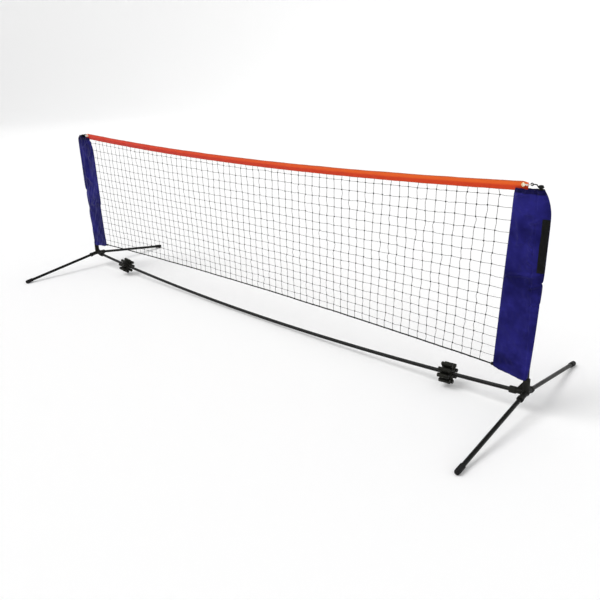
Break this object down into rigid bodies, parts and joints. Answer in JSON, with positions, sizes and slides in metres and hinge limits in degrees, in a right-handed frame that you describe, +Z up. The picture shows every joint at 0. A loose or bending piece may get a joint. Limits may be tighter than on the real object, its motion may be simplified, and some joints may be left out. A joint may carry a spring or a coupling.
{
  "type": "portable badminton net",
  "caption": "Free-standing net on a plug-together tube frame with sloping feet, a bowed crossbar, pole sleeves, a top band and storage clips that turn on the bar.",
  "frame": {"origin": "on the floor under the middle of the net, halfway between the two bases", "axes": "+X along the net to the right, +Y to the back across the net, +Z up"},
  "size_m": [2.97, 1.009, 0.8529],
  "materials": {
    "steel_black": "semi-gloss powder coat",
    "plastic_black": "moulded, fine texture",
    "clip_black": "moulded, satin",
    "cap_black": "matt",
    "sleeve_blue": "coated woven polyester, slight sheen",
    "band_orange": "coated tape, satin",
    "strip_black": "hook-and-loop pile",
    "twine_black": "braided nylon twine",
    "cord_black": "braided cord",
    "cord_white": "braided cord",
    "hook_black": "black coated wire",
    "eyelet_brass": "polished"
  },
  "bodies": {
    "frame": {"crossbar_tube_1": "steel_black", "crossbar_tube_2": "steel_black", "crossbar_tube_3": "steel_black", "crossbar_tube_4": "steel_black", "crossbar_tube_5": "steel_black", "crossbar_tube_6": "steel_black", "base_connector_left": "plastic_black", "post_lower_left": "steel_black", "post_upper_left": "steel_black", "post_cap_left": "plastic_black", "cord_hook_left": "hook_black", "band_eyelet_left": "eyelet_brass", "tie_loop_left": "cord_white", "sleeve_left": "sleeve_blue", "closure_strip_left": "strip_black", "base_connector_right": "plastic_black", "post_lower_right": "steel_black", "post_upper_right": "steel_black", "post_cap_right": "plastic_black", "cord_hook_right": "hook_black", "band_eyelet_right": "eyelet_brass", "tie_loop_right": "cord_white", "sleeve_right": "sleeve_blue", "closure_strip_right": "strip_black", "top_band": "band_orange", "bottom_cord": "cord_black", "net_mesh": "twine_black"},
    "foot_front_left": {"foot_tube_front_left": "steel_black", "foot_cap_front_left": "cap_black"},
    "foot_rear_left": {"foot_tube_rear_left": "steel_black", "foot_cap_rear_left": "cap_black"},
    "clip_left": {"storage_clip_left": "clip_black"},
    "foot_front_right": {"foot_tube_front_right": "steel_black", "foot_cap_front_right": "cap_black"},
    "foot_rear_right": {"foot_tube_rear_right": "steel_black", "foot_cap_rear_right": "cap_black"},
    "clip_right": {"storage_clip_right": "clip_black"}
  },
  "joints": [
    {"name": "foot_front_left_pull", "type": "slide", "parent": "frame", "child": "foot_front_left", "axis": [0, -0.9894, -0.1452], "range_m": [0, 0.05]},
    {"name": "foot_rear_left_pull", "type": "slide", "parent": "frame", "child": "foot_rear_left", "axis": [0, 0.9894, -0.1452], "range_m": [0, 0.05]},
    {"name": "clip_left_turn", "type": "hinge", "parent": "frame", "child": "clip_left", "pos_m": [-1.132, 0, 0.05708], "axis": [0.9979, 0, -0.0653], "continuous": true},
    {"name": "foot_front_right_pull", "type": "slide", "parent": "frame", "child": "foot_front_right", "axis": [0, -0.9894, -0.1452], "range_m": [0, 0.05]},
    {"name": "foot_rear_right_pull", "type": "slide", "parent": "frame", "child": "foot_rear_right", "axis": [0, 0.9894, -0.1452], "range_m": [0, 0.05]},
    {"name": "clip_right_turn", "type": "hinge", "parent": "frame", "child": "clip_right", "pos_m": [1.147, 0, 0.05806], "axis": [0.9978, 0, 0.0661], "continuous": true}
  ]
}
